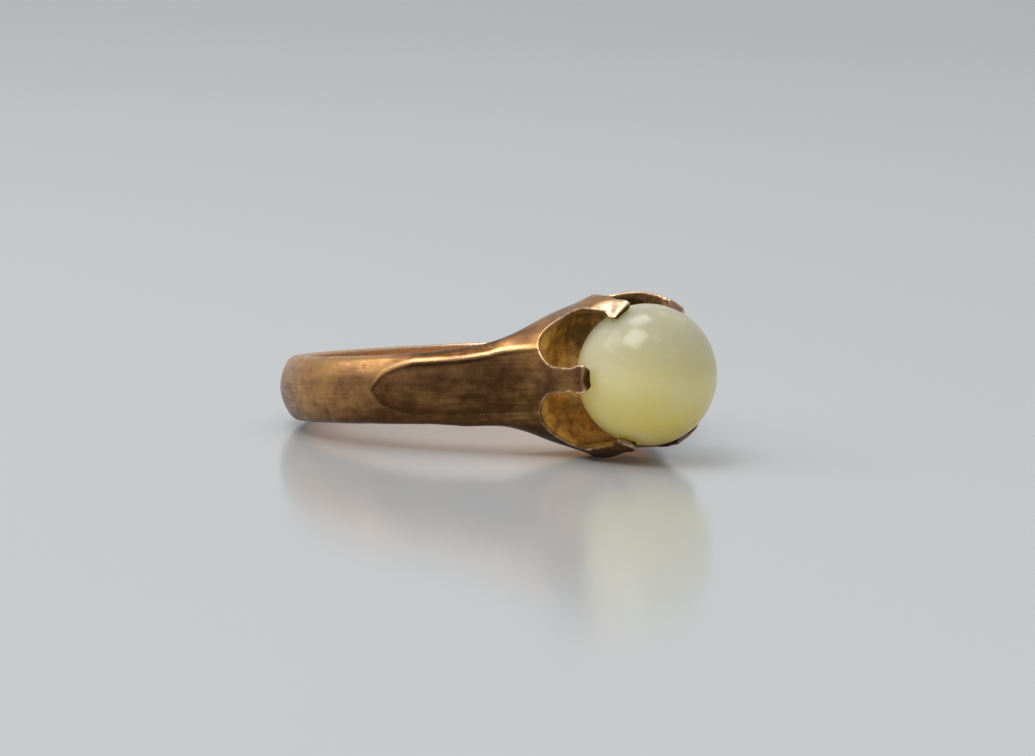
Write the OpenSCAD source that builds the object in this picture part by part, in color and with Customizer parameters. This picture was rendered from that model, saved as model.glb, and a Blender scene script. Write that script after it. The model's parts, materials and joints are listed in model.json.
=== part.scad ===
// Cabochon ring: a cast band whose shoulders flow into a clawed cup, and the ball stone that the claws hold.
// It lies on its side as it rests by itself, on z = 0, with the stone end towards +X and the hole's axis near Z.
// Lengths are millimetres and angles are degrees.

/* [Band] */
// Diameter of the finger hole
hole_d = 17.4; // [14:0.1:21]
// Thickness of the band at its back
band_t = 1.3; // [1:0.05:1.8]
// Width of the band at its back
band_w = 3.2; // [2.6:0.1:4.2]
// Bulge of the band's outer face, from its edges to its middle line
band_crown = 0.6; // [0.3:0.05:0.8]
// Depth of the step at the back end of the flat panel on each shoulder
panel_depth = 0.12; // [0.05:0.01:0.2]

/* [Stone] */
// Diameter of the ball stone
stone_d = 6.75; // [5.5:0.05:8]
// Clearance between the stone and the metal
stone_gap = 0.05; // [0.03:0.01:0.1]

/* [Setting] */
// Thickness of the cup's floor above the finger hole
floor_t = 1.3; // [1:0.05:1.5]
// Height of the stone's lowest point above the cup's floor
stone_lift = 0.64; // [0.4:0.02:0.9]
// Radius of the pad on the floor that the stone sits on
pad_r = 1.3; // [0.9:0.05:1.8]
// Wall of the cup at the bottom of the arches
cup_wall = 0.32; // [0.25:0.01:0.45]
// Number of claws
claw_count = 6; // [5:1:8]
// Width of a claw
claw_w = 1.4; // [1.1:0.05:1.6]
// Thickness of a claw at the stone's middle
claw_t = 0.53; // [0.4:0.01:0.7]
// Reach of the claws past the stone's middle
claw_reach = 0.35; // [0.2:0.05:0.8]
// Widening of each side of a claw at its hammered tip
tip_flare = 0.2; // [0:0.01:0.25]
// Length of the hammered tip
tip_length = 0.9; // [0.5:0.05:1.2]
// Turn of the claws about the head's axis
claw_turn = 1.4; // [0:0.2:4]
// Lean of the head out of the band's plane
head_lean = 1.3; // [0:0.1:3]
// Height of the arches' bottoms above the cup's floor
arch_lift = 0.25; // [0.2:0.05:0.6]
// Length of the round end of an arch
arch_round = 2; // [1.2:0.1:2.4]

/* [Hidden] */

gold = "#9a7046";
pale_jade = "#c3bd78";
smooth = 96;

// The ring is built with the head's axis on X and the hole's axis close to Z, and is then laid down
hole_r = hole_d / 2;
outer_r = hole_r + band_t;
half_w = band_w / 2;
stone_r = stone_d / 2;
seat_r = stone_r + stone_gap;
floor_x = hole_r + floor_t;
stone_x = floor_x + stone_lift + stone_r;
tip_x = stone_x + claw_reach;
arch_x = floor_x + arch_lift;
// Outer radius of the claws at the stone's middle
grip_r = seat_r + claw_t;
// The faceted body starts this far inside the finger hole, which is cut from it afterwards
cover_margin = 0.5;
cover_r = hole_r - cover_margin;
cut_margin = 1;
hole_cut_h = 4 * grip_r;

// Band's edge: height as a share of the half width, distance inwards as a share of the crown
edge_rows = [
    [0.98, 1.15],
    [1.00, 1.50],
];
// Height where the crown ends and the edge begins, and steps of the crown above the panel
crown_end = 0.92;
crown_steps = 3;
// The crown begins this share of the half width above the panel's edge
panel_margin = 0.03;
// The panel is flatter than the crown by this share
panel_flatness = 0.6;

// Columns of the shoulder table: angle from the head, half width share, panel's half height share, its step
ROW_ANGLE = 0;
ROW_WIDTH = 1;
ROW_PANEL = 2;
ROW_STEP = 3;
// The band is round and plain from its back to this angle, and it widens by this share on the way
plain_end = 75;
plain_widening = 0.045;
plain_panel = 0.1;
back_rows = [
    for (angle = [180:-7.5:plain_end])
        [angle, 1 + plain_widening * pow((180 - angle) / (180 - plain_end), 2), plain_panel, 0]
];
shoulder_rows = [
    [71.0, 1.050, 0.10, 0],
    [67.0, 1.060, 0.14, 0],
    [65.8, 1.062, 0.16, 1],
    [64.5, 1.065, 0.34, 1],
    [62.0, 1.070, 0.52, 1],
    [58.5, 1.080, 0.64, 1],
    [54.0, 1.095, 0.70, 1],
];

// Columns of the neck table: share of the neck's length, half width share, share of the cup's round section
NECK_AT = 0;
NECK_WIDTH = 1;
NECK_ROUND = 2;
neck_rows = [
    [0.08, 1.13, 0.01],
    [0.16, 1.18, 0.04],
    [0.24, 1.24, 0.12],
    [0.31, 1.31, 0.26],
    [0.38, 1.40, 0.46],
    [0.44, 1.50, 0.66],
    [0.50, 1.60, 0.84],
    [0.57, 1.70, 0.96],
    [0.64, 1.75, 1.00],
    [0.72, 1.75, 1.00],
    [0.80, 1.75, 1.00],
    [0.90, 1.75, 1.00],
    [1.00, 1.75, 1.00],
];
neck_panel = 0.70;
// The neck's inner end reaches the head's middle at this share of its length
neck_join = 0.50;
// Pull of the neck's outline at its two ends, as shares of the straight way between them
pull_at_band = 0.52;
pull_at_cup = 0.22;
// Place on the head where the neck ends and the cup is round
neck_end = 0.53;

// Columns of the cup table: place on the head from the hole's wall to the stone's middle, share of the grip radius
cup_rows = [
    [-0.22, 0.60],
    [-0.11, 0.69],
    [0.00, 0.79],
    [0.11, 0.87],
    [0.25, 0.93],
    [0.35, 0.965],
    [0.44, 1.005],
    [0.53, 1.045],
    [0.63, 1.066],
    [0.73, 1.064],
    [0.83, 1.045],
    [0.93, 1.018],
    [1.00, 0.992],
    [1.07, 0.965],
    [1.15, 0.930],
];
// Angles of the cup's half section, from the middle of the shoulder to the top, one for each band point
cup_angles = [0, 12, 23, 26, 36, 47, 58, 68, 79, 90];

// Columns of the bowl table: place from the floor to the stone's middle, size share, side share, claw wall share
BOWL_AT = 0;
BOWL_SIZE = 1;
BOWL_SIDE = 2;
BOWL_CLAW = 3;
bowl_rows = [
    [0.00, 0.86, 0.14, 0.0],
    [0.03, 0.95, 0.13, 0.0],
    [0.10, 1.00, 0.11, 0.0],
    [0.17, 1.00, 0.07, 0.2],
    [0.25, 1.00, 0.03, 0.5],
    [0.34, 1.00, 0.00, 0.8],
    [0.46, 1.00, 0.00, 1.0],
    [0.61, 1.00, 0.00, 1.2],
    [0.76, 1.00, 0.00, 1.2],
    [0.92, 1.00, 0.00, 1.2],
    [1.09, 1.00, 0.00, 1.2],
    [1.40, 1.00, 0.00, 1.2],
];
bowl_sides = 48;

function head_x(place) = hole_r + place * (stone_x - hole_r);
function head_place(x) = (x - hole_r) / (stone_x - hole_r);
function cup_radius(x) = grip_r * lookup(head_place(x), cup_rows);
function mix(a, b, share) = a + (b - a) * share;
function on_circle(r, angle) = [r * cos(angle), r * sin(angle)];

// Half section of the band, from its middle line up to its edge: [distance inwards, height]
function crown_drop(height) = band_crown * height * height;
function panel_drop(height, panel, step) =
    let (flat = panel_depth + panel_flatness * crown_drop(height))
    mix(crown_drop(height), max(crown_drop(height), flat), step);
function band_points(half, panel, step, depth) = concat(
    [for (share = [0, 0.5, 1])
        [panel_drop(panel * share, panel, step), half * panel * share]],
    [for (i = [0:crown_steps])
        let (height = mix(panel + panel_margin, crown_end, i / crown_steps))
        [crown_drop(height), half * height]],
    [for (row = edge_rows)
        [band_crown * row[1], half * row[0]]],
    [[depth, half]]
);

// A station is a section of one side: inner end, outer end, half height, panel share, panel step, roundness
function station(inner, outer, half, panel, step, round) = [inner, outer, half, panel, step, round];
function half_section(s) =
    let (inner = s[0], outer = s[1], depth = norm(inner - outer),
        band = band_points(s[2], s[3], s[4], depth))
    [for (i = [0:len(cup_angles) - 1])
        let (flat_at = mix(outer, inner, band[i][0] / depth),
            round_at = mix(inner, outer, cos(cup_angles[i])),
            at = mix(flat_at, round_at, s[5]),
            height = mix(band[i][1], cup_radius(round_at[0]) * sin(cup_angles[i]), s[5]))
        [at[0], at[1], height]];
// The band's plane rises from the head to the back, and the round cup doesn't follow it
function plane_lift(x, round) = -x * tan(head_lean) * (1 - round);
function lifted(p, side, round) = [p[0], p[1], side * p[2] + plane_lift(p[0], round)];
function full_section(s) =
    let (half = half_section(s), last = len(half) - 1)
    concat(
        [for (i = [last:-1:1]) lifted(half[i], -1, s[5])],
        [for (p = half) lifted(p, 1, s[5])]
    );

// Neck's outline seen along the hole's axis: a curve that leaves the band and meets the cup, both tangentially
neck_angle = shoulder_rows[len(shoulder_rows) - 1][ROW_ANGLE];
neck_x = head_x(neck_end);
neck_from = on_circle(outer_r, neck_angle);
neck_to = [neck_x, cup_radius(neck_x)];
neck_way = norm(neck_to - neck_from);
neck_from_pull = neck_from + pull_at_band * neck_way * [sin(neck_angle), -cos(neck_angle)];
neck_to_pull = neck_to - pull_at_cup * neck_way * [1, 0];
function neck_outer(at) =
    let (rest = 1 - at)
    rest * rest * rest * neck_from
    + 3 * rest * rest * at * neck_from_pull
    + 3 * rest * at * at * neck_to_pull
    + at * at * at * neck_to;
function neck_inner(at) =
    at < neck_join
        ? on_circle(cover_r, neck_angle * (1 - at / neck_join))
        : [mix(cover_r, neck_x, (at - neck_join) / (1 - neck_join)), 0];

band_stations = [
    for (row = concat(back_rows, shoulder_rows))
        station(on_circle(cover_r, row[ROW_ANGLE]), on_circle(outer_r, row[ROW_ANGLE]),
            half_w * row[ROW_WIDTH], row[ROW_PANEL], row[ROW_STEP], 0)
];
neck_stations = [
    for (row = neck_rows)
        station(neck_inner(row[NECK_AT]), neck_outer(row[NECK_AT]),
            half_w * row[NECK_WIDTH], neck_panel, 1, row[NECK_ROUND])
];
cup_places = concat(
    [for (row = cup_rows) if (row[0] > neck_end && head_x(row[0]) < tip_x) head_x(row[0])],
    [tip_x]
);
cup_stations = [
    for (x = cup_places)
        station([x, 0], [x, cup_radius(x)], half_w, neck_panel, 1, 1)
];
stations = concat(band_stations, neck_stations, cup_stations);

// Triangles between two rings of points, where ring b follows ring a; open leaves out the last side
function band_faces(a, b, count, sides) = [
    for (i = [0:sides - 1])
        let (j = (i + 1) % count)
        each [[a + i, b + i, b + j], [a + i, b + j, a + j]]
];
function cap_faces(a, count) = [for (i = [1:count - 2]) [a, a + i, a + i + 1]];
function turned(faces) = [for (face = faces) [face[2], face[1], face[0]]];

// Band, shoulders and cup as one closed body without its holes: both sides are the same stations, mirrored
module mount_body() {
    count = 2 * len(cup_angles) - 1;
    last = len(stations) - 1;
    half_points = [for (s = stations) each full_section(s)];
    far_start = len(half_points);
    // The inner wall is left out where both ends lie in the middle plane, because the two sides join there
    far_faces = concat(
        [for (k = [0:last - 1])
            let (joined = stations[k][0][1] == 0 && stations[k + 1][0][1] == 0)
            each band_faces(k * count, (k + 1) * count, count, joined ? count - 1 : count)],
        turned(cap_faces(last * count, count))
    );
    near_faces = [for (face = turned(far_faces)) [for (i = face) half_points[i][1] == 0 ? i : i + far_start]];
    polyhedron(
        points = concat(half_points, [for (p = half_points) [p[0], -p[1], p[2]]]),
        faces = concat(far_faces, near_faces),
        convexity = 8
    );
}

// Hollow of the cup: oval at the floor, where the shoulders are wide, and round between the claws
module bowl() {
    rings = [
        for (row = bowl_rows)
            let (x = mix(floor_x, stone_x, row[BOWL_AT]),
                wall = mix(cup_wall, claw_t, row[BOWL_CLAW]),
                radius = (cup_radius(min(x, tip_x)) - wall) * row[BOWL_SIZE],
                side = radius + grip_r * row[BOWL_SIDE])
            [for (i = [0:bowl_sides - 1])
                let (angle = i * 360 / bowl_sides)
                [x, side * cos(angle), radius * sin(angle)]]
    ];
    last = len(rings) - 1;
    polyhedron(
        points = [for (ring = rings) each ring],
        faces = concat(
            [for (k = [0:last - 1])
                each band_faces(k * bowl_sides, (k + 1) * bowl_sides, bowl_sides, bowl_sides)],
            cap_faces(0, bowl_sides),
            turned(cap_faces(last * bowl_sides, bowl_sides))
        ),
        convexity = 4
    );
}

// Half of an arch between two claws: from the round bottom to the tips, where the claws are wider
pitch_half = 180 / claw_count;
widest_r = grip_r * max([for (row = cup_rows) row[1]]);
arch_half_w = widest_r * sin(pitch_half - asin(claw_w / 2 / widest_r));
arch_reach = 1.5 * widest_r;
function arch_half(x) =
    x >= tip_x - tip_length
        ? arch_half_w - tip_flare * min((x - tip_x + tip_length) / (tip_length / 2), 1)
        : arch_half_w * sin(acos(1 - min(max(x - arch_x, 0) / arch_round, 1)));
arch_profile = [
    for (angle = [0:10:90])
        [arch_x + arch_round * (1 - cos(angle)), arch_half_w * sin(angle)],
    [tip_x - tip_length, arch_half_w],
    [tip_x - tip_length / 2, arch_half_w - tip_flare],
    [tip_x + cut_margin, arch_half_w - tip_flare],
];
function claw_angle(i) = claw_turn + i * 360 / claw_count;

module arch_cut() {
    linear_extrude(arch_reach)
        polygon(concat(
            [for (i = [len(arch_profile) - 1:-1:1]) [arch_profile[i][0], -arch_profile[i][1]]],
            arch_profile
        ));
}

module ring_mount_upright() {
    difference() {
        mount_body();
        rotate([0, head_lean, 0]) cylinder(r = hole_r, h = hole_cut_h, center = true, $fn = smooth);
        difference() {
            bowl();
            translate([floor_x - cut_margin, 0, 0])
                rotate([0, 90, 0])
                    cylinder(r = pad_r, h = cut_margin + stone_lift + stone_r / 2, $fn = smooth);
        }
        translate([stone_x, 0, 0]) sphere(r = seat_r, $fn = smooth);
        for (i = [0:claw_count - 1])
            rotate([90 - claw_angle(i + 0.5), 0, 0]) arch_cut();
    }
}

// Rest pose: the ring tips about Y until the band's back and the head touch the surface together
function height_off(points, tilt) = min([for (p = points) p[0] * sin(tilt) + p[1] * cos(tilt)]);
back_section = [for (p = full_section(stations[0])) [p[0], p[2]]];
function claw_angle_from_bottom(i) =
    let (turn = (claw_angle(i) + 360 + 90) % 360)
    min(turn, 360 - turn);
function metal_angle(x) =
    let (r = cup_radius(x), claw_half = pitch_half - asin(arch_half(x) / r))
    max(0, min([for (i = [0:claw_count - 1]) claw_angle_from_bottom(i)]) - claw_half);
head_steps = 40;
head_section = [
    for (i = [0:head_steps])
        let (x = mix(hole_r, tip_x, i / head_steps))
        [x, -cup_radius(x) * cos(metal_angle(x))]
];
function solve_tilt(low, high, steps) =
    let (middle = (low + high) / 2)
    steps == 0 ? middle
        : height_off(head_section, middle) < height_off(back_section, middle)
            ? solve_tilt(middle, high, steps - 1)
            : solve_tilt(low, middle, steps - 1);
steepest_tilt = 30;
halvings = 24;
rest_tilt = solve_tilt(0, steepest_tilt, halvings);
rest_lift = -height_off(back_section, rest_tilt);
back_reach = max([for (p = back_section) -p[0] * cos(rest_tilt) + p[1] * sin(rest_tilt)]);
front_reach = stone_x * cos(rest_tilt) + stone_r;
rest_middle = (front_reach - back_reach) / 2;

module laid_down() {
    translate([-rest_middle, 0, rest_lift]) rotate([0, -rest_tilt, 0]) children();
}

module ring_mount() {
    color(gold) laid_down() ring_mount_upright();
}

module cabochon_stone() {
    color(pale_jade) laid_down() translate([stone_x, 0, 0]) sphere(r = stone_r, $fn = smooth);
}

ring_mount();
cabochon_stone();
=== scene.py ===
import json
import math

import bpy
import numpy as np
from mathutils import Matrix, Vector


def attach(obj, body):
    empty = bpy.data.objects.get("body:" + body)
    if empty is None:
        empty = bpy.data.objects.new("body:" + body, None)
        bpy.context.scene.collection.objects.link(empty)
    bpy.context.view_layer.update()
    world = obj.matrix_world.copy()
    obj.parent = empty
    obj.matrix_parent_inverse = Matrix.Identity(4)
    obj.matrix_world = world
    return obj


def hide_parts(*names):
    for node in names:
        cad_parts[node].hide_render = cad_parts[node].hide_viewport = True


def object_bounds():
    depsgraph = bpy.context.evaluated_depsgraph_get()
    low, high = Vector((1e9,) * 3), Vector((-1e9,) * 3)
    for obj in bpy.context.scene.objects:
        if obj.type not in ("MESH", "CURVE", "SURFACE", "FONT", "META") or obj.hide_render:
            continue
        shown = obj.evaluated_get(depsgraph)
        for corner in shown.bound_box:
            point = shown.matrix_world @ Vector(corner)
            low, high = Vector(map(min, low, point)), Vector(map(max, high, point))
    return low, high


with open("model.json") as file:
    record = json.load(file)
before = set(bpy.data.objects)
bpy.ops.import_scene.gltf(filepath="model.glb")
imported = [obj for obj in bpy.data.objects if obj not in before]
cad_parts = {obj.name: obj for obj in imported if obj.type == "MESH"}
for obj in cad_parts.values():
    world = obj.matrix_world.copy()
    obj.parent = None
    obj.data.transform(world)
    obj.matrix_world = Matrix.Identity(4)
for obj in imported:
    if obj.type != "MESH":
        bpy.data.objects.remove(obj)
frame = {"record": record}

cad_box = [list(corner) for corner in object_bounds()]

# Sizes are millimetres in the head's frame: X along the head's axis, Z close to the finger hole's axis
MM = 0.001
# Degrees by which the head's axis leans out of the band's plane
HEAD_LEAN = 1.3
HOLE_R = 8.7
OUTER_R = 10.0
# Outer radius of the claws about where they grip the stone
GRIP_R = 3.955
# Places along the head: floor of the hollow, middle of the stone, a plane past the claws' ends and the end of
# the charts
FLOOR_X = 10.0
STONE_X = 14.015
FRONT = 14.9
CHART_END = 16.0
# Half sizes of the stone along the head, across it and up, and its distance from the metal
STONE_HALF = (3.375, 3.375, 3.42)
SEAT_GAP = 0.05
# Roundings of the finger hole's edges, of the arches' rims and of the claws' ends with their facets and dents
HOLE_ROUND = 0.16
RIM_ROUND = 0.11
CLAW_END_ROUND = 0.08
FACET_ROUND = 0.04
DENT_ROUND = 0.05

# The neck leaves the band's circle at an angle from the head's axis, and meets the cup at a share of the way
# from the hole's wall to the stone's middle. The two pulls of its curve are shares of the distance it spans
NECK_ANGLE = 54.0
NECK_PLACE = 0.53
NECK_PULLS = (0.52, 0.22)
NECK_BLUR = 0.7

# The band's section turns into the cup's between these places, which lie further forward at the outer wall
MORPH = (6.0, 9.2)
MORPH_SLANT = 0.16
# Fall of the band's outside from its middle to its edges, the share of the half height at which it stops
# falling, and the rounding of the edges
CROWN = 0.60
CROWN_REACH = 1.2
EDGE_ROUND = 0.30
# Leaf panel: depth of its step, how flat it is on the band and on the cup, places between which it fades out
PANEL_STEP = 0.05
PANEL_FLATNESS = (0.40, 0.62)
PANEL_END = (9.9, 11.5)

# The cup's wall at the arches' rims and at the claws, and the places between which it grows thicker
RIM_WALL = 0.22
CLAW_WALL = 0.56
CLAW_START = (10.6, 12.8)
# Hollow: rounding of its floor, share by which it is wider across at the floor, places where that fades out
BOWL_ROUND = 1.7
BOWL_WIDER = 0.12
BOWL_WIDER_END = (10.2, 11.4)
# Pad in the hollow's middle: radius, height over the floor below which it spreads, spread with each
# millimetre, roundings of its top and of the corner where it meets the floor
PAD_R = 1.3
PAD_FOOT = 0.9
PAD_SPREAD = 0.9
PAD_TOP_ROUND = 0.1
PAD_FOOT_ROUND = 0.3

# Columns: place along the slanted sections, half height of the band
HALF_HEIGHTS = [
    (-12.0, 1.60), (-7.6, 1.61), (-1.6, 1.64), (1.0, 1.67), (3.3, 1.71), (4.6, 1.75), (5.3, 1.81),
    (6.0, 1.89), (6.6, 1.98), (7.15, 2.10), (7.6, 2.24), (8.0, 2.40), (8.4, 2.56), (8.8, 2.72),
    (9.2, 2.80), (CHART_END, 2.80),
]
# Columns: angle from the head, half height of the flat leaf panel
LEAF_HEIGHTS = [
    (0, 1.50), (19, 1.48), (29, 1.45), (32, 1.36), (40, 1.30), (54, 1.24), (59, 1.05), (63, 0.78), (65, 0.46),
    (66.6, 0.0), (70, -0.9), (180, -3.0),
]
# Columns: place on the head, as a share of the way from the hole's wall to the stone's middle, and outer
# radius of the cup, as a share of the grip radius
CUP_RADII = [
    (-0.22, 0.60), (-0.11, 0.69), (0.00, 0.79), (0.11, 0.87), (0.25, 0.93), (0.35, 0.965), (0.44, 1.005),
    (0.53, 1.045), (0.63, 1.066), (0.73, 1.064), (0.83, 1.045), (0.93, 1.018), (1.00, 0.992), (1.07, 0.965),
    (1.15, 0.930),
]
# Columns: place of the claw's end, its two edges in degrees about the head from the near side upwards, first
# along the shaft and then at the hammered tip, bottom of the arch after it, lengths of that arch's round end
# on its two sides
CLAWS = [
    (14.07, -9.6, 9.3, -10.6, 10.5, 10.55, 2.0, 2.0),
    (14.60, 52.4, 71.0, 50.0, 71.6, 10.90, 1.9, 3.0),
    (14.28, 109.5, 134.0, 111.5, 138.0, 10.40, 2.0, 2.0),
    (14.25, 171.5, 190.5, 170.0, 192.0, 10.45, 2.0, 1.8),
    (14.25, 223.0, 240.5, 221.0, 246.0, 10.40, 2.0, 2.0),
    (14.60, 290.0, 305.5, 289.5, 306.8, 10.42, 0.8, 1.5),
]
CLAW_END, LOW_EDGE, HIGH_EDGE, LOW_TIP, HIGH_TIP, ARCH_BOTTOM, ARCH_LOW, ARCH_HIGH = range(8)
# The shafts' edges are measured at this place, and the tips' edges this far before the claw's end
SHAFT_PLACE = 12.2
TIP_BACK = 0.2
# A claw's edges turn from the shaft's into the tip's between these distances before its end
FLARE = (0.80, 0.40)
# Flat facets hammered on the claws' ends. Columns: claw, the way that the facet faces along the head, across
# the claw and outwards, distance from the middle of the claw's outer end
FACETS = [
    (1, 0.36, -0.15, 0.92, -0.12),
    (1, 0.85, -0.10, 0.52, -0.12),
    (1, 0.30, -0.75, 0.58, 0.38),
    (2, 0.72, 0.69, 0.00, 0.22),
    (3, 0.60, 0.20, 0.77, -0.12),
    (4, 0.55, 0.30, 0.78, -0.06),
    (5, 0.75, 0.66, 0.05, -0.05),
    (5, 0.25, 0.30, 0.92, -0.02),
]
# Round dents in the claws' ends. Columns: claw, middle along the head, across the claw and outwards from the
# middle of its outer end, radius
DENTS = [
    (0, 0.52, -0.05, -0.22, 0.62),
    (0, 0.16, 0.95, -0.10, 0.30),
    (3, 0.36, 0.30, 0.10, 0.36),
    (5, 0.10, 0.05, -0.50, 0.30),
]


def smooth_step(low, high, value):
    share = np.clip((value - low) / (high - low), 0.0, 1.0)
    return share * share * (3.0 - 2.0 * share)


def mix(a, b, share):
    return a + (b - a) * share


def unit(vectors):
    return vectors / np.maximum(np.linalg.norm(vectors, axis=1, keepdims=True), 1e-9)


def soft_max(a, b, radius):
    """Largest of two fields, with the edge where they meet rounded."""
    share = np.clip(0.5 + 0.5 * (a - b) / radius, 0.0, 1.0)
    return mix(b, a, share) + radius * share * (1.0 - share)


def blurred(values, half, **padding):
    """Evenly spaced samples, each blended with the given number of neighbours on both sides."""
    kernel = np.hanning(2 * half + 3)
    padded = np.pad(values, half + 1, **padding)
    return np.convolve(padded, kernel / kernel.sum(), mode="valid")


def smooth_table(rows, low, high, blur, samples=2001):
    """A table's second column as evenly spaced samples, with its corners blurred."""
    at = np.linspace(low, high, samples)
    values = np.interp(at, [row[0] for row in rows], [row[1] for row in rows])
    half = max(int(blur / (high - low) * samples), 1)
    return at, blurred(values, half, mode="edge")


half_height = smooth_table(HALF_HEIGHTS, -12.0, CHART_END, 0.4)
leaf_height = smooth_table(LEAF_HEIGHTS, 0.0, 180.0, 0.8)
cup_share = smooth_table(CUP_RADII, -0.3, 1.2, 0.06)


def cup_radius(x):
    return GRIP_R * np.interp((x - HOLE_R) / (STONE_X - HOLE_R), *cup_share)


def outline_points(band_steps=160, curve_steps=60, even_steps=300):
    """Outline of one side seen along the hole's axis, in two stretches: the band's circle and the rest."""
    turn = np.radians(np.linspace(180.0, NECK_ANGLE, band_steps))
    band = np.stack([OUTER_R * np.cos(turn), OUTER_R * np.sin(turn)], -1)
    neck_x = mix(HOLE_R, STONE_X, NECK_PLACE)
    start = band[-1]
    end = np.array([neck_x, float(cup_radius(neck_x))])
    way = np.linalg.norm(end - start)
    along = np.array([math.sin(turn[-1]), -math.cos(turn[-1])])
    pull_out = start + NECK_PULLS[0] * way * along
    pull_in = end - NECK_PULLS[1] * way * np.array([1.0, 0.0])
    at = np.linspace(0.0, 1.0, curve_steps)[1:, None]
    rest = 1.0 - at
    neck = rest ** 3 * start + 3 * rest ** 2 * at * pull_out + 3 * rest * at ** 2 * pull_in + at ** 3 * end
    cup_x = np.linspace(neck_x, CHART_END, curve_steps)[1:]
    cup = np.stack([cup_x, cup_radius(cup_x)], -1)
    # The corner where the neck meets the cup is blurred
    joined = np.concatenate([neck, cup])
    x = np.linspace(joined[0, 0], CHART_END, even_steps)
    half = int(NECK_BLUR / (x[1] - x[0]))
    width = blurred(np.interp(x, joined[:, 0], joined[:, 1]), half, mode="reflect", reflect_type="odd")
    return band, np.stack([x, width], -1)


def polyline_distance(points, line):
    """Distance of each point from an open line of points."""
    best = np.full(len(points), 1e9)
    for a, b in zip(line[:-1], line[1:]):
        way = b - a
        share = np.clip(((points - a) @ way) / (way @ way), 0.0, 1.0)
        best = np.minimum(best, np.linalg.norm(points - a - share[:, None] * way, axis=1))
    return best


class Chart:
    """A field over a plane, sampled on a grid and read back by blending its four nearest samples."""

    def __init__(self, low, high, step, field):
        self.low = np.array(low)
        self.step = step
        self.count = [int(math.ceil((high[i] - low[i]) / step)) + 1 for i in range(2)]
        u, v = np.meshgrid(*[low[i] + step * np.arange(self.count[i]) for i in range(2)], indexing="ij")
        self.values = field(np.stack([u.ravel(), v.ravel()], -1)).reshape(self.count)

    def read(self, u, v):
        u = np.clip((u - self.low[0]) / self.step, 0, self.count[0] - 1.001)
        v = np.clip((v - self.low[1]) / self.step, 0, self.count[1] - 1.001)
        i, j = u.astype(int), v.astype(int)
        a, b = u - i, v - j
        f = self.values
        return ((f[i, j] * (1 - b) + f[i, j + 1] * b) * (1 - a)
                + (f[i + 1, j] * (1 - b) + f[i + 1, j + 1] * b) * a)


band_outline, cup_outline = outline_points()
outline = np.concatenate([band_outline, cup_outline])
# The neck starts at the band's last point
neck_outline = outline[len(band_outline) - 1:]


def outline_half(x):
    """Half width of the neck and the cup seen along the hole's axis."""
    return np.interp(x, neck_outline[:, 0], neck_outline[:, 1])


def outline_field(points):
    """Depth inside the outline seen along the hole's axis, negative outside."""
    away = polyline_distance(points, outline)
    in_circle = np.linalg.norm(points, axis=1) < OUTER_R
    inside = np.where(points[:, 0] > neck_outline[0, 0], points[:, 1] < outline_half(points[:, 0]), in_circle)
    return np.where(inside, away, -away)


plan = Chart(low=(-11.0, 0.0), high=(CHART_END, 11.0), step=0.1, field=outline_field)


def arch_side(claw, shaft_apart, tip_apart, bottom, length):
    """One side of an arch: its round end and the edge of the claw, across the arch and along the head."""
    end = claw[CLAW_END]
    past_charts = CHART_END + 1.0
    half = float(cup_radius(SHAFT_PLACE)) * math.sin(shaft_apart)
    tip = float(cup_radius(end - TIP_BACK)) * math.sin(tip_apart)
    turn = np.radians(np.linspace(0, 90, 24))
    curve = np.stack([half * np.sin(turn), bottom + length * (1 - np.cos(turn))], -1)
    return np.concatenate([curve, [[half, end - FLARE[0]], [tip, end - FLARE[1]], [tip, past_charts]]])


def arch_charts():
    """For each arch its angle about the head, and a chart of the depth inside its outline."""
    charts = []
    for i, claw in enumerate(CLAWS):
        after = CLAWS[(i + 1) % len(CLAWS)]
        full_turn = 360 if i == len(CLAWS) - 1 else 0
        middle = math.radians(claw[HIGH_EDGE] + after[LOW_EDGE] + full_turn) / 2
        apart = middle - math.radians(claw[HIGH_EDGE])
        low_tip = middle - math.radians(claw[HIGH_TIP])
        high_tip = math.radians(after[LOW_TIP] + full_turn) - middle
        low = arch_side(claw, apart, low_tip, claw[ARCH_BOTTOM], claw[ARCH_LOW])
        high = arch_side(after, apart, high_tip, claw[ARCH_BOTTOM], claw[ARCH_HIGH])
        line = np.concatenate([low[::-1] * [-1, 1], high[1:]])
        lowest = len(low) - 1

        def field(points, line=line, lowest=lowest):
            away = polyline_distance(points, line)
            right = np.interp(points[:, 1], line[lowest:, 1], line[lowest:, 0])
            left = np.interp(points[:, 1], line[lowest::-1, 1], line[lowest::-1, 0])
            inside = (points[:, 0] < right) & (points[:, 0] > left) & (points[:, 1] > line[lowest, 1])
            return np.where(inside, away, -away)

        charts.append((middle, Chart(low=(-3.2, 8.5), high=(3.2, CHART_END), step=0.05, field=field)))
    return charts


arches = arch_charts()


def about_head(angle, y, z):
    """Distances outwards from the head's axis at an angle about it, and across that direction."""
    return -y * math.cos(angle) + z * math.sin(angle), y * math.sin(angle) + z * math.cos(angle)


def section_place(x, y):
    """Place along the slanted sections, and the share of the cup in the section there."""
    place = x - MORPH_SLANT * np.abs(y)
    return place, smooth_step(*MORPH, place)


def height_on_band(x, z, share):
    """Height over the band's middle plane, which turns into the head's as the share of the cup grows."""
    return z + x * math.tan(math.radians(HEAD_LEAN)) * (1.0 - share)


def leaf_half_height(x, y):
    """Half height of the leaf panel, negative past its pointed end."""
    return np.interp(np.degrees(np.arctan2(np.abs(y), x)), *leaf_height)


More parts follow.
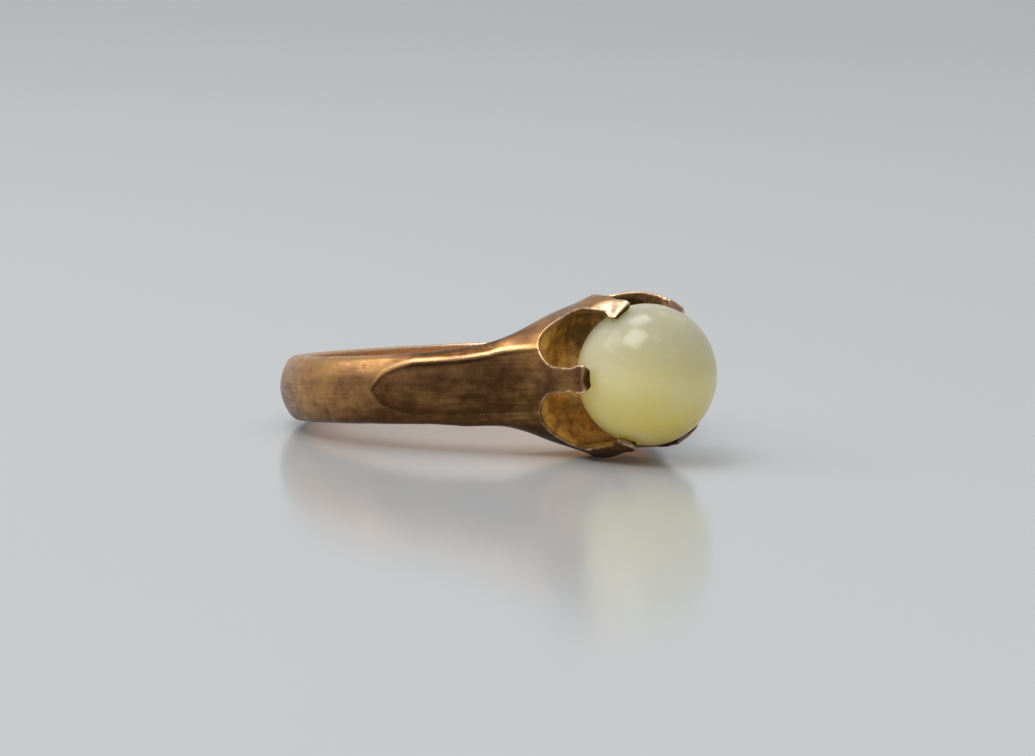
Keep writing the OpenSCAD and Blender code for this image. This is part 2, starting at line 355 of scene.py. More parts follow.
def outer_field(x, y, z):
    """Signed distance to the mount's outside: the band's rounded section, which turns into the round cup."""
    place, share = section_place(x, y)
    band_z = np.abs(height_on_band(x, z, share))
    half = np.interp(place, *half_height)
    width = np.maximum(outline_half(x), 1.0)
    height = np.maximum(cup_radius(x), 1.0)

    def crown(level):
        return CROWN * np.minimum(level / half, CROWN_REACH) ** 2

    def section(level):
        bulge = height * (1.0 - np.sqrt(np.maximum(1.0 - np.minimum(level / height, 1.0) ** 2, 0.0)))
        return mix(crown(level), bulge, share)

    band = soft_max(crown(band_z) - plan.read(x, np.abs(y)), band_z - half, EDGE_ROUND)
    cup = (np.sqrt((y / width) ** 2 + (z / height) ** 2) - 1.0) * height
    leaf = leaf_half_height(x, y)
    flatness = mix(*PANEL_FLATNESS, share)
    panel = PANEL_STEP + (1.0 - flatness) * (section(np.maximum(leaf, 0.0)) - section(band_z))
    in_leaf = smooth_step(-0.05, 0.05, leaf - band_z) * (1.0 - smooth_step(*PANEL_END, x))
    return mix(band, cup, share) + in_leaf * np.maximum(panel, 0.0)


def hollow_field(x, y, z):
    """Signed distance to the cup's hollow, negative in the air: a bowl with a spreading pad in its middle."""
    about = np.sqrt(y * y + z * z)
    wall = mix(RIM_WALL, CLAW_WALL, smooth_step(*CLAW_START, x))
    side = 1.0 - BOWL_WIDER * (1.0 - smooth_step(*BOWL_WIDER_END, x))
    bowl = soft_max(np.sqrt((y * side) ** 2 + z * z) - (cup_radius(x) - wall), FLOOR_X - x, BOWL_ROUND)
    pad = about - PAD_R - PAD_SPREAD * np.maximum(FLOOR_X + PAD_FOOT - x, 0.0)
    return soft_max(bowl, -soft_max(pad, x - STONE_X, PAD_TOP_ROUND), PAD_FOOT_ROUND)


def stone_field(x, y, z):
    """Signed distance to the stone, close to the true one near its surface."""
    half = STONE_HALF
    return (np.sqrt(((x - STONE_X) / half[0]) ** 2 + (y / half[1]) ** 2 + (z / half[2]) ** 2) - 1.0) * half[0]


def hole_field(x, y, z):
    """Depth of a point inside the finger hole, negative in the metal."""
    lean = math.radians(HEAD_LEAN)
    return HOLE_R - np.hypot(x * math.cos(lean) - z * math.sin(lean), y)


def about_claw(claw, x, y, z):
    """Place of a point from the middle of a claw's outer end, along the head, across the claw and outwards,
    and whether it lies in the space round that claw."""
    out, across = about_head(math.radians(claw[LOW_EDGE] + claw[HIGH_EDGE]) / 2, y, z)
    here = (out > 2.0) & (np.abs(across) < 1.6) & (x > 12.0)
    return x - claw[CLAW_END], across, out - float(cup_radius(claw[CLAW_END])), here


def rows_of(table, claw):
    """A claw's rows in a table whose first column is the claw, without that column."""
    return [row[1:] for row in table if row[0] == claw]


def facet_height(facet, along, across, outwards):
    """Height of a point over a facet's plane."""
    faces_along, faces_across, faces_outwards, distance = facet
    return faces_along * along + faces_across * across + faces_outwards * outwards - distance


def claw_cuts(x, y, z):
    """What is cut off each claw at its end: a face across it, hammered facets and dents."""
    uncut = -9.0
    cuts = np.full(x.shape, uncut)
    for i, claw in enumerate(CLAWS):
        along, across, outwards, here = about_claw(claw, x, y, z)
        cut = along
        for facet in rows_of(FACETS, i):
            cut = soft_max(cut, facet_height(facet, along, across, outwards), FACET_ROUND)
        for dent_along, dent_across, dent_outwards, radius in rows_of(DENTS, i):
            away = (along - dent_along) ** 2 + (across - dent_across) ** 2 + (outwards - dent_outwards) ** 2
            cut = soft_max(cut, radius - np.sqrt(away), DENT_ROUND)
        cuts = np.where(here, cut, cuts)
    return cuts


def mount_field(x, y, z):
    """Signed distance to the cast mount, roughly in millimetres, negative in the metal."""
    body = soft_max(outer_field(x, y, z), hole_field(x, y, z), HOLE_ROUND)
    body = soft_max(body, -hollow_field(x, y, z), RIM_ROUND)
    body = np.maximum(body, SEAT_GAP - stone_field(x, y, z))
    for angle, chart in arches:
        out, across = about_head(angle, y, z)
        body = np.where(out > 0.5, soft_max(body, chart.read(across, x), RIM_ROUND), body)
    body = soft_max(body, claw_cuts(x, y, z), CLAW_END_ROUND)
    return np.maximum(body, x - FRONT)


def graded_axis(places, steps):
    """Grid places between the given ones, with one step size for each stretch."""
    stretches = []
    for a, b, step in zip(places[:-1], places[1:], steps):
        count = math.ceil((b - a) / step)
        stretches.append(np.arange(count) * ((b - a) / count) + a)
    return np.concatenate(stretches + [[places[-1]]])


def surface_mesh(field, axes):
    """Quads over the zero surface of a field: one point in each cell that the surface crosses."""
    shape = tuple(len(axis) for axis in axes)
    values = np.empty(shape, np.float32)
    y, z = (part.ravel() for part in np.meshgrid(axes[1], axes[2], indexing="ij"))
    for i, x in enumerate(axes[0]):
        values[i] = field(np.full(y.size, x), y, z).reshape(shape[1:])
    solid = values < 0
    corners = list(np.ndindex(2, 2, 2))
    cell_shape = tuple(n - 1 for n in shape)
    solid_corners = np.zeros(cell_shape, np.int8)
    for corner in corners:
        solid_corners += solid[tuple(slice(first, first + n) for first, n in zip(corner, cell_shape))]
    cells = np.argwhere((solid_corners > 0) & (solid_corners < len(corners)))
    number = np.full(cell_shape, -1, np.int64)
    number[tuple(cells.T)] = np.arange(len(cells))
    # A cell's point is the mean of the places where the surface crosses the cell's edges
    sums = np.zeros((len(cells), 3))
    hits = np.zeros(len(cells))
    corner_values = {corner: values[tuple((cells + corner).T)] for corner in corners}
    for corner in corners:
        for axis in range(3):
            if corner[axis]:
                continue
            opposite = tuple(1 if i == axis else corner[i] for i in range(3))
            a, b = corner_values[corner], corner_values[opposite]
            crossed = (a < 0) != (b < 0)
            share = np.where(crossed, a / np.where(crossed, a - b, 1.0), 0.0)
            spot = np.array(corner, float)[None, :] + share[:, None] * np.eye(3)[axis][None, :]
            sums += np.where(crossed[:, None], spot, 0.0)
            hits += crossed
    inner = sums / hits[:, None]
    points = np.stack([
        mix(axes[i][cells[:, i]], axes[i][cells[:, i] + 1], inner[:, i]) for i in range(3)
    ], -1)
    # Each grid edge that the surface crosses gives a quad between the four cells round it
    quads = []
    for axis in range(3):
        first = [slice(None)] * 3
        second = [slice(None)] * 3
        first[axis] = slice(0, shape[axis] - 1)
        second[axis] = slice(1, shape[axis])
        crossed = np.argwhere(solid[tuple(first)] != solid[tuple(second)])
        starts = solid[tuple(crossed.T)]
        step_u, step_v = (np.eye(3, dtype=int)[i] for i in range(3) if i != axis)
        ring = [crossed - step_u - step_v, crossed - step_v, crossed, crossed - step_u]
        quad = np.stack([number[tuple(cell.T)] for cell in ring], -1)
        flip = starts if axis != 1 else ~starts
        quads.append(np.where(flip[:, None], quad, quad[:, ::-1]))
    return points, np.concatenate(quads)


def gradient(field, points, step=0.02):
    x, y, z = points.T
    return np.stack([
        field(x + step, y, z) - field(x - step, y, z),
        field(x, y + step, z) - field(x, y - step, z),
        field(x, y, z + step) - field(x, y, z - step),
    ], -1) / (2 * step)


def settle(field, points, longest_move=0.08, least_slope=0.05):
    """Moves points towards the zero surface along the field's slope."""
    slope = gradient(field, points)
    steep = np.maximum((slope ** 2).sum(1), least_slope)
    move = -field(*points.T)[:, None] * slope / steep[:, None]
    length = np.linalg.norm(move, axis=1, keepdims=True)
    return points + move * np.minimum(1.0, longest_move / np.maximum(length, 1e-9))


def relax(points, quads, share):
    """Moves each point towards the mean of its neighbours."""
    total = np.zeros_like(points)
    count = np.zeros(len(points))
    for i in range(4):
        a, b = quads[:, i], quads[:, (i + 1) % 4]
        for p, q in ((a, b), (b, a)):
            np.add.at(total, p, points[q])
            np.add.at(count, p, 1)
    return points + share * (total / count[:, None] - points)


bore = next(mount for mount in frame["record"]["mounts"] if mount["name"] == "finger_hole")
hole_tilt = math.atan2(-bore["axis"][0], bore["axis"][2])
head_tilt = hole_tilt + math.radians(HEAD_LEAN)
head_frame = (
    Matrix.Translation(Vector(bore["pos_m"]))
    @ Matrix.Rotation(-head_tilt, 4, "Y")
    @ Matrix.Scale(MM, 4)
)


def to_cad(points):
    """Points of the head's frame in the CAD model's frame, in metres."""
    turn = np.array(head_frame)[:3, :3]
    return points @ turn.T + np.array(head_frame)[:3, 3]


class Noise:
    """Smooth random field: random values on a lattice, blended between, the same in each run."""

    def __init__(self, size, seed):
        self.size = size
        self.count = 32
        self.values = np.random.default_rng(seed).uniform(-1.0, 1.0, (self.count,) * 3)

    def read(self, points):
        places = points / self.size
        cells = np.floor(places).astype(int)
        share = places - cells
        share = share * share * (3.0 - 2.0 * share)
        total = np.zeros(len(points))
        for corner in np.ndindex(2, 2, 2):
            weight = np.prod(np.where(np.array(corner) == 1, share, 1.0 - share), axis=1)
            at = (cells + corner) % self.count
            total += weight * self.values[at[:, 0], at[:, 1], at[:, 2]]
        return total


def new_mesh(name, points, faces, smooth=True):
    mesh = bpy.data.meshes.new(name)
    mesh.vertices.add(len(points))
    mesh.vertices.foreach_set("co", np.ascontiguousarray(points, np.float32).ravel())
    mesh.loops.add(faces.size)
    mesh.loops.foreach_set("vertex_index", np.ascontiguousarray(faces, np.int32).ravel())
    mesh.polygons.add(len(faces))
    mesh.polygons.foreach_set("loop_start", np.arange(len(faces), dtype=np.int32) * faces.shape[1])
    mesh.polygons.foreach_set("use_smooth", np.full(len(faces), smooth))
    mesh.update(calc_edges=True)
    mesh.validate()
    piece = bpy.data.objects.new(name, mesh)
    bpy.context.scene.collection.objects.link(piece)
    return piece


def add_mask(piece, name, values):
    """Stores one value for each point of the mesh, which the material reads by name."""
    layer = piece.data.attributes.new(name, "FLOAT", "POINT")
    layer.data.foreach_set("value", np.clip(values, 0.0, 1.0).astype(np.float32))


def edge_bulge(points, quads, normals, rounds):
    """How far each point stands out of its neighbours' mean, evened out over its neighbours."""
    bulge = -((relax(points, quads, 1.0) - points) * normals).sum(1)
    values = np.stack([bulge] * 3, -1)
    for _ in range(rounds):
        values = relax(values, quads, 0.6)
    return values[:, 0]


def mount_areas(points):
    """Where points lie, each as a share: in the hollow, in the finger hole, on a claw's end, near the stone,
    on the first facet of a claw's end."""
    x, y, z = points.T
    deep = smooth_step(0.08, 0.16, -outer_field(x, y, z)) * smooth_step(13.9, 13.5, x)
    in_hollow = smooth_step(0.10, 0.04, np.abs(hollow_field(x, y, z))) * smooth_step(14.2, 13.6, x)
    in_hollow = np.maximum(in_hollow, deep * smooth_step(9.2, 9.6, x))
    in_hole = smooth_step(0.08, 0.03, np.abs(hole_field(x, y, z)))
    near_stone = smooth_step(0.45, 0.05, stone_field(x, y, z))
    ends = np.zeros(len(points))
    flats = np.zeros(len(points))
    for i, claw in enumerate(CLAWS):
        along, across, outwards, here = about_claw(claw, x, y, z)
        ends = np.where(here, smooth_step(-1.0, -0.5, along), ends)
        for facet in rows_of(FACETS, i)[:1]:
            over = facet_height(facet, along, across, outwards)
            flats = np.where(here, smooth_step(-0.05, -0.015, over), flats)
    return in_hollow, in_hole, ends, near_stone, flats


def roughened(points, normals, in_hollow, ends, near_stone):
    """Uneven casting and wear: faint waves outside, pits in the hollow, hammer marks on the claws' ends."""
    waves = 0.012 * Noise(1.6, 1).read(points) + 0.006 * Noise(0.6, 2).read(points)
    pits = 0.035 * Noise(0.42, 3).read(points) - 0.05 * smooth_step(0.35, 0.75, Noise(0.33, 4).read(points))
    hammered = 0.035 * Noise(0.40, 5).read(points)
    lift = mix(waves, pits, in_hollow)
    lift = mix(lift, hammered, ends * (1.0 - in_hollow))
    # The stone's seat stays even, and all but the claws' ends lies a little lower
    lift = lift * (1.0 - near_stone * in_hollow) - 0.008 * (1.0 - ends)
    moved = points + lift[:, None] * normals
    # Nothing reaches into the stone
    too_close = np.maximum(SEAT_GAP * 0.6 - stone_field(*moved.T), 0.0)
    away = unit((moved - np.array([STONE_X, 0.0, 0.0])) / np.array(STONE_HALF) ** 2)
    return moved + too_close[:, None] * away


def mount_masks(points, bulge, in_hollow, in_hole, ends, near_stone, flats):
    """The masks that the metal's material reads by name, each with one value for each point."""
    x, y, z = points.T
    place, share = section_place(x, y)
    height = height_on_band(x, z, share)
    # From -1 at the band's lower edge to 1 at its upper one
    level = height / np.interp(place, *half_height)
    outside = (1.0 - in_hole) * (1.0 - in_hollow)
    on_side = outside * smooth_step(11.0, 9.5, x) * smooth_step(-0.9, 0.2, level)
    # Distance inside the leaf panel's outline, which counts for less on the head
    in_leaf = leaf_half_height(x, y) - np.abs(height)
    from_step = in_leaf * smooth_step(16.0, 8.0, x)
    # Pale on the upper near claw's first facet, and less on the others' and on the upper far claw's end:
    # partly metal laid bare, partly painted highlight
    pale_facet_share = np.where((y < -1.0) & (y > -3.2) & (z > 0), 1.0, 0.25)
    far_end = 0.45 * ends * smooth_step(2.0, 2.8, z) * smooth_step(0.5, 1.5, y)
    upper_edge = smooth_step(0.50, 0.78, level) * smooth_step(0.95, 0.40, share) * smooth_step(4.3, 6.0, x)
    return {
        # Paler on convex edges: partly real wear, partly painted highlight along the rims
        "wear_and_glint": smooth_step(0.004, 0.022, bulge) * smooth_step(0.14, 0.07, -outer_field(x, y, z)),
        # Tarnish in creases, and painted shade in creases and next to the stone, where shade falls
        "crevice_tarnish_and_shade": smooth_step(0.002, 0.016, -bulge) * 0.7 + near_stone * 0.6,
        "hollow": in_hollow,
        # The finger hole's inside, which the material paints lighter and paler as a highlight
        "hole": in_hole,
        "panel": smooth_step(-0.12, 0.12, in_leaf) * smooth_step(13.0, 9.0, x) * outside,
        # Darker towards the underside: partly tarnish, partly painted shade for the dark floor that the
        # underside reflects
        "low": 0.5 - 0.5 * level / (1.0 + 0.45 * share),
        "head": smooth_step(-4.0, 12.0, x),
        "bare_and_glint": np.maximum(flats * pale_facet_share, far_end) * (1.0 - in_hollow),
        # Painted shade: the band's upper strip by the shoulders is darkened, dimming the softboxes'
        # reflection there
        "edge": upper_edge * (1.0 - in_hole),
        # Painted shade: a dark line along the panel's step. Painted highlight: a bright lip above its upper
        # side
        "step_shadow": np.exp(-((from_step - 0.06) / 0.12) ** 2) * on_side,
        "step_highlight": np.exp(-((from_step + 0.13) / 0.09) ** 2) * on_side * smooth_step(0.1, 0.5, level),
    }


def make_mount():
    """The cast mount: its surface is drawn from the field, evened out, roughened and given its masks."""
    coarse = 1.0
    axes = [
        graded_axis((-10.4, 6.0, 9.0, 15.2), [step * coarse for step in (0.15, 0.12, 0.085)]),
        graded_axis((-10.4, -4.6, 4.6, 10.4), [step * coarse for step in (0.15, 0.085, 0.15)]),
        graded_axis((-4.7, 4.7), [0.095 * coarse]),
    ]
    points, quads = surface_mesh(mount_field, axes)
    points = settle(mount_field, points)
    for _ in range(2):
        points = relax(points, quads, 0.5)
        points = settle(mount_field, points)
    normals = unit(gradient(mount_field, points))
    in_hollow, in_hole, ends, near_stone, flats = mount_areas(points)
    bulge = edge_bulge(points, quads, normals, 2)
    moved = roughened(points, normals, in_hollow, ends, near_stone)
    # Hammer marks stay inside the CAD model's box
    piece = new_mesh("cast_mount", np.clip(to_cad(moved), *np.array(cad_box)), quads)
    masks = mount_masks(points, bulge, in_hollow, in_hole, ends, near_stone, flats)
    for name, values in masks.items():
        add_mask(piece, name, values)
    return piece


def make_stone_ball():
    """The ball stone: a cube's grid blown up to a ball a bit taller than wide, with faint flats of polish."""
    count = 64
    turn = np.tan(np.linspace(-0.25 * math.pi, 0.25 * math.pi, count + 1))
    u, v = np.meshgrid(turn, turn, indexing="ij")
    ahead = np.ones_like(u)
    sheets = []
    for axis in range(3):
        for sign in (1, -1):
            sheet = [None] * 3
            sheet[axis] = sign * ahead
            sheet[(axis + 1) % 3] = sign * u
            sheet[(axis + 2) % 3] = v
            sheets.append(np.stack(sheet, -1).reshape(-1, 3))
    rows = np.arange(count * (count + 1)).reshape(count, count + 1)[:, :-1].ravel()
    quad = np.stack([rows, rows + count + 1, rows + count + 2, rows + 1], -1)
    faces = np.concatenate([quad + k * (count + 1) ** 2 for k in range(6)])
    directions = unit(np.concatenate(sheets))
    # Sheets share the points along their edges
    keys = np.round(directions * 1e6).astype(np.int64)
    _, kept, number = np.unique(keys, axis=0, return_index=True, return_inverse=True)
    directions = directions[kept]
    faces = number.reshape(-1)[faces]
    # Slightly smaller than the full ball, so that the swells of its polish stay inside it
    shifted = directions + 3.0
    size = 0.9974 + 0.0018 * Noise(0.55, 11).read(shifted) + 0.0008 * Noise(0.2, 12).read(shifted)
    points = directions * np.array(STONE_HALF) * size[:, None] + np.array([STONE_X, 0.0, 0.0])
    return new_mesh("ball_stone", to_cad(points), faces)


class Graph:
    """Short calls that add nodes to a material and link them."""

    def __init__(self, name):
        self.material = bpy.data.materials.new(name)
        self.material.use_nodes = True
        self.tree = self.material.node_tree
        self.shader = self.tree.nodes["Principled BSDF"]

    def add(self, kind, inputs, **settings):
        made = self.tree.nodes.new(kind)
        for name, value in settings.items():
            setattr(made, name, value)
        for name, value in inputs.items():
            self.feed(made.inputs[name], value)
        return made

    def feed(self, socket, value):
        if isinstance(value, bpy.types.NodeSocket):
            self.tree.links.new(value, socket)
        else:
            socket.default_value = value

    def mask(self, name):
        return self.add("ShaderNodeAttribute", {}, attribute_name=name).outputs["Fac"]

    def math(self, operation, a, b=0.0, clamp=False):
        return self.add("ShaderNodeMath", {0: a, 1: b}, operation=operation, use_clamp=clamp).outputs[0]

    def sum(self, start, *terms):
        """A starting value plus masks times their weights, kept between 0 and 1."""
        total = start
        for value, weight in terms:
            total = self.math("ADD", total, self.math("MULTIPLY", value, weight))
        return self.math("ADD", total, 0.0, clamp=True)

    def spots(self, at, scale, detail=3.0, rough=0.55, distortion=0.0):
        inputs = {"Vector": at, "Scale": scale, "Detail": detail, "Roughness": rough}
        inputs["Distortion"] = distortion
        return self.add("ShaderNodeTexNoise", inputs).outputs["Fac"]

    def steps(self, value, low, high, to_low=0.0, to_high=1.0):
        inputs = {"Value": value, "From Min": low, "From Max": high, "To Min": to_low, "To Max": to_high}
        return self.add("ShaderNodeMapRange", inputs, interpolation_type="SMOOTHSTEP").outputs[0]

    def blend(self, share, a, b):
        """Blend of two colours. The colours are inputs 6 and 7 and output 2 of the mix node."""
        made = self.add("ShaderNodeMix", {}, data_type="RGBA")
        self.feed(made.inputs[0], share)
        self.feed(made.inputs[6], a)
        self.feed(made.inputs[7], b)
        return made.outputs[2]

    def stretched(self, at, lengths, turn=(0.0, 0.0, 0.0)):
        """Coordinates that count in the given lengths along turned axes."""
        inputs = {"Vector": at, "Scale": lengths, "Rotation": turn}
        return self.add("ShaderNodeMapping", inputs, vector_type="TEXTURE").outputs[0]

    def millimetres(self):
        at = self.add("ShaderNodeTexCoord", {}).outputs["Object"]
        return self.stretched(at, (MM, MM, MM))

    def grain(self, at, lengths, turn, low, high, detail=3.0, rough=0.55, distortion=0.0):
        """Spots stretched to the given lengths along turned axes, stepped between two of their values."""
        spots = self.spots(self.stretched(at, lengths, turn), 1.0, detail, rough, distortion)
        return self.steps(spots, low, high)


def make_metal():
    """Aged rose gold: tarnished brown in its recesses and towards its underside, with painted shade there
    too, along the panel's step and on the band's upper strip; worn bright on its edges, partly as painted
    highlights, with more painted highlights above the panel's step, on claw facets and in the finger hole.
    """
    clean = (0.89, 0.48, 0.17, 1)
    rosy = (0.86, 0.43, 0.20, 1)
    brown = (0.088, 0.038, 0.012, 1)
    dark = (0.030, 0.018, 0.011, 1)
    amber = (1.00, 0.56, 0.12, 1)
    olive = (0.33, 0.17, 0.045, 1)
    pale = (0.95, 0.76, 0.54, 1)
    look = Graph("worn_gold")
    at = look.millimetres()
    tilt = (0.0, -hole_tilt, 0.0)
    patches = look.grain(at, (3.0, 3.0, 1.8), tilt, 0.35, 0.65)
    mottles = look.steps(look.spots(at, 1.9, 5.0, 0.6), 0.33, 0.67)
    streaks = look.grain(at, (2.4, 2.4, 0.22), tilt, 0.33, 0.67, detail=4.0, rough=0.6)
    bands = look.grain(at, (1.1, 1.1, 6.0), tilt, 0.35, 0.65)
    scratches = look.grain(at, (0.8, 0.8, 0.025), (0.2, 0.1, 0.0), 0.68, 0.74, detail=1.0)
    cross = look.grain(at, (0.035, 0.35, 0.5), (0.0, 0.6, 0.3), 0.72, 0.78, detail=1.0)
    grit = look.steps(look.spots(at, 5.0, 4.0, 0.65), 0.57, 0.67)
    wear_and_glint, crevice_tarnish_and_shade, hollow = (look.mask(name) for name in ("wear_and_glint", "crevice_tarnish_and_shade", "hollow"))
    low, panel, head, hole = (look.mask(name) for name in ("low", "panel", "head", "hole"))
    bare_and_glint, step_shadow, step_highlight, edge = (look.mask(name) for name in ("bare_and_glint", "step_shadow", "step_highlight", "edge"))
    # Tarnish, with painted shade in creases, towards the underside, along the panel's step and on the band's
    # upper strip, and painted highlights, taken off it, above the step and in the finger hole
    tarnish_shade_and_highlight = look.sum(
        0.13, (low, 0.42), (panel, 0.07), (head, 0.14), (crevice_tarnish_and_shade, 0.35), (patches, 0.17), (mottles, 0.10),
        (streaks, 0.08), (bands, 0.03), (wear_and_glint, -0.50), (hole, -0.35), (scratches, -0.08), (bare_and_glint, -0.8),
        (step_shadow, 0.14), (edge, 0.36), (step_highlight, -0.95),
    )
    gold = look.blend(patches, clean, rosy)
    colour = look.blend(look.steps(tarnish_shade_and_highlight, 0.0, 0.95), gold, brown)
    # Painted shade: near black in creases, next to the stone and along the panel's step
    colour = look.blend(look.sum(0.0, (crevice_tarnish_and_shade, 0.55), (hollow, -0.3), (step_shadow, 0.25)), colour, dark)
    # Inside the cup: amber with olive patches, turning olive towards its top as painted shade
    inner = look.blend(look.sum(0.25, (patches, 0.6), (mottles, 0.7), (low, -0.8)), amber, olive)
    # Painted shade: the cup's inside is darkest at its top and at its bottom
    shaded_top_and_floor = look.steps(look.math("ABSOLUTE", look.math("SUBTRACT", low, 0.5)), 0.33, 0.42)
    inner = look.blend(look.sum(0.0, (grit, 0.55), (crevice_tarnish_and_shade, 0.6), (shaded_top_and_floor, 0.62)), inner, dark)
    colour = look.blend(hollow, colour, inner)
    # Paler where worn, scratched and bare, and as painted highlights on rims, above the panel's step, on claw
    # facets and in the finger hole
    polish_and_highlight = look.sum(0.0, (wear_and_glint, 0.8), (cross, 0.06), (bare_and_glint, 0.6), (step_highlight, 0.1), (hole, 0.2))
    look.feed(look.shader.inputs["Base Color"], look.blend(polish_and_highlight, colour, pale))
    look.feed(look.shader.inputs["Metallic"], look.sum(1.0, (hollow, -0.65)))
    rough = look.sum(0.21, (tarnish_shade_and_highlight, 0.12), (mottles, 0.06), (hollow, 0.14), (streaks, 0.05), (wear_and_glint, -0.06))
    look.feed(look.shader.inputs["Roughness"], rough)
    height = look.sum(0.4, (streaks, 0.10), (mottles, 0.12), (scratches, -0.10), (cross, -0.08), (grit, -0.3))
    bump = look.add("ShaderNodeBump", {"Strength": 0.5, "Distance": 0.02 * MM, "Height": height})
    look.feed(look.shader.inputs["Normal"], bump.outputs[0])
    return look.material


def make_jade(middle):
    """Translucent pale stone, yellow-green with clouds and veins, with light painted in: a darker whitish
    green at its top as painted shade, and a painted golden glow below and towards the cup.
    """
    top = (0.48, 0.45, 0.34, 1)
    body = (0.80, 0.72, 0.40, 1)
    golden_glow = (1.00, 0.66, 0.21, 1)
    cloud = (0.86, 0.80, 0.58, 1)
    # The colour turns over this many millimetres on both sides of the stone's middle
    reach = 3.4
    look = Graph("pale_jade")
    at = look.millimetres()
    clouds = look.steps(look.spots(at, 0.32, 3.0, 0.5, 0.6), 0.38, 0.68)
    vein_turn = (0.4, 0.3, 0.0)
    veins = look.grain(at, (2.4, 2.4, 1.4), vein_turn, 0.50, 0.62, detail=4.0, rough=0.6, distortion=1.4)
    place = look.add("ShaderNodeSeparateXYZ", {"Vector": at}).outputs
    middle_mm = middle / MM
    height = look.steps(place[2], middle_mm.z - reach, middle_mm.z + reach, -1.0, 1.0)
    front = look.steps(place[0], middle_mm.x - reach, middle_mm.x + reach, 1.0, 0.0)
    # Painted shade: whitish green and darker towards the top, holding back the light from above
    colour = look.blend(look.sum(0.0, (height, 0.9), (clouds, 0.1)), body, top)
    # Painted glow: golden towards the bottom and towards the cup, for light that gathers in the stone's lower
    # part
    under = look.sum(0.0, (look.math("MULTIPLY", height, -1.0), 1.2), (front, 0.32), (clouds, -0.10))
    colour = look.blend(under, colour, golden_glow)
    colour = look.blend(look.sum(0.0, (veins, 0.16), (clouds, 0.10)), colour, cloud)
    look.feed(look.shader.inputs["Base Color"], colour)
    look.shader.inputs["Subsurface Weight"].default_value = 1.0
    look.shader.inputs["Subsurface Radius"].default_value = (0.9, 0.95, 0.60)
    look.shader.inputs["Subsurface Scale"].default_value = 6.0 * MM
    look.shader.inputs["Subsurface Anisotropy"].default_value = 0.8
    look.shader.inputs["IOR"].default_value = 1.6
    specks = look.steps(look.spots(at, 4.5, 2.0), 0.70, 0.76)
    look.feed(look.shader.inputs["Roughness"], look.sum(0.17, (clouds, 0.05), (specks, 0.2)))
    bump = look.add("ShaderNodeBump", {"Strength": 0.25, "Distance": 0.01 * MM, "Height": specks})
    look.feed(look.shader.inputs["Normal"], bump.outputs[0])
    return look.material


def place_camera():
    """The photograph's camera, fitted to the ring in the head's frame. Gives its axes, right, up and back."""
    azimuth, elevation, roll = math.radians(53.67), math.radians(1.21), math.radians(-3.19)
    distance = 181.8
    target = Vector((3.547, 0.0, 0.005))
    # Pixels for each millimetre at the target, and the photograph's width in pixels
    scale = 19.899
    width = 1035
    back = Vector((
        math.sin(azimuth) * math.cos(elevation), -math.cos(azimuth) * math.cos(elevation), math.sin(elevation)
    ))
    level = Vector((math.cos(azimuth), math.sin(azimuth), 0.0))
    above = back.cross(level)
    right = level * math.cos(roll) + above * math.sin(roll)
    up = above * math.cos(roll) - level * math.sin(roll)
    place = target + distance * back
    turn = head_frame.to_3x3() * (1 / MM)
    axes = [turn @ axis for axis in (right, up, back)]
    camera = bpy.data.cameras.new("camera")
    camera.sensor_width = 36.0
    camera.lens = scale * distance / width * camera.sensor_width
    camera.clip_start = 0.01
    camera.clip_end = 20
    piece = bpy.data.objects.new("camera", camera)
    piece.matrix_world = Matrix.Translation(head_frame @ place) @ Matrix(axes).transposed().to_4x4()
    bpy.context.scene.collection.objects.link(piece)
    bpy.context.scene.camera = piece
    return axes


def area_light(name, aim, direction, size, glow):
    """A soft rectangular light half a metre from its aim; glow is its brightness as it is seen."""
    distance = 0.5
    light = bpy.data.lights.new(name, "AREA")
    light.shape = "RECTANGLE"
    light.size, light.size_y = size
    light.energy = glow * math.pi * size[0] * size[1]
    piece = bpy.data.objects.new(name, light)
    piece.location = aim + direction.normalized() * distance
    piece.rotation_euler = direction.to_track_quat("Z", "Y").to_euler()
    bpy.context.scene.collection.objects.link(piece)


def make_floor():
    """A pale, slightly shiny floor under the ring."""
    half = 3.0
    corners = [(-half, -half, 0), (half, -half, 0), (half, half, 0), (-half, half, 0)]
    floor = new_mesh("floor", np.array(corners), np.array([[0, 1, 2, 3]]), smooth=False)
    look = Graph("pale_floor")
    look.shader.inputs["Base Color"].default_value = (0.62, 0.64, 0.65, 1)
    look.shader.inputs["Roughness"].default_value = 0.16
    floor.data.materials.append(look.material)


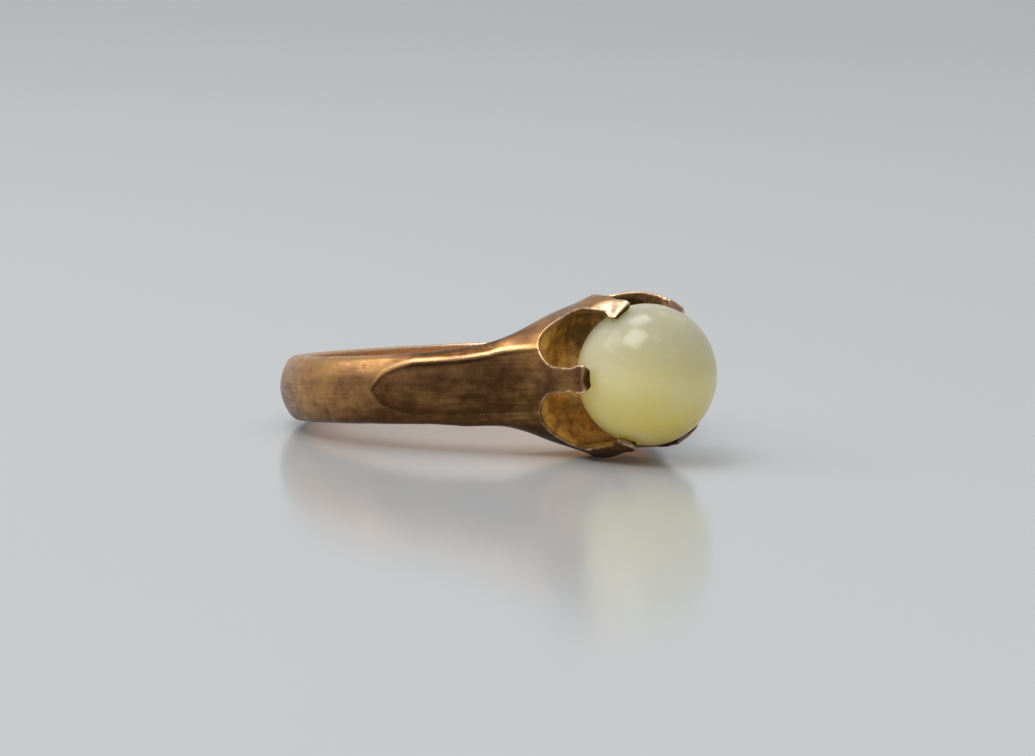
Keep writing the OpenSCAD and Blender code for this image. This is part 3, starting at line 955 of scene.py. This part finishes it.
def make_surroundings(brightest):
    """Soft grey surroundings, a ramp up to their brightest direction."""
    world = bpy.data.worlds.new("studio")
    world.use_nodes = True
    tree = world.node_tree
    at = tree.nodes.new("ShaderNodeTexCoord")
    facing = tree.nodes.new("ShaderNodeVectorMath")
    facing.operation = "DOT_PRODUCT"
    facing.inputs[1].default_value = brightest
    spread = tree.nodes.new("ShaderNodeMapRange")
    spread.inputs["From Min"].default_value = -1.0
    ramp = tree.nodes.new("ShaderNodeValToRGB")
    tree.links.new(at.outputs["Generated"], facing.inputs[0])
    tree.links.new(facing.outputs["Value"], spread.inputs["Value"])
    tree.links.new(spread.outputs[0], ramp.inputs[0])
    tree.links.new(ramp.outputs[0], tree.nodes["Background"].inputs["Color"])
    ends = ramp.color_ramp.elements
    ends[0].color = (0.18, 0.18, 0.185, 1)
    ends[0].position = 0.20
    ends[1].color = (0.56, 0.57, 0.58, 1)
    ends[1].position = 0.80
    bpy.context.scene.world = world


def make_studio(axes, aim):
    """Floor, grey surroundings and three softboxes above the ring and to its left, as the camera sees it."""
    right, up, back = axes
    make_floor()
    # Darkest towards the camera and to its right, brightest behind the ring, to its left and overhead
    bright = Vector((0, 0, 1.1)) - 0.6 * back - 0.6 * right
    make_surroundings(bright.normalized())
    # Columns: name, direction to the right, up and back to the camera, size in metres, glow
    boxes = [
        ("softbox_back", (-0.13, 0.97, -0.18), (0.20, 0.17), 3.0),
        ("softbox_front", (-0.30, 0.86, 0.41), (0.25, 0.25), 4.0),
        ("softbox_left", (-0.72, 0.69, 0.05), (0.24, 0.22), 1.5),
    ]
    for name, way, size, glow in boxes:
        area_light(name, aim, right * way[0] + up * way[1] + back * way[2], size, glow)


bpy.context.scene.view_settings.view_transform = "Standard"
stone_middle = head_frame @ Vector((STONE_X, 0.0, 0.0))
camera_axes = place_camera()
make_studio(camera_axes, stone_middle)

mount = make_mount()
mount.data.materials.append(make_metal())
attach(mount, "root")
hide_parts("ring_mount")

stone = make_stone_ball()
stone.data.materials.append(make_jade(stone_middle))
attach(stone, "root")
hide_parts("cabochon_stone")
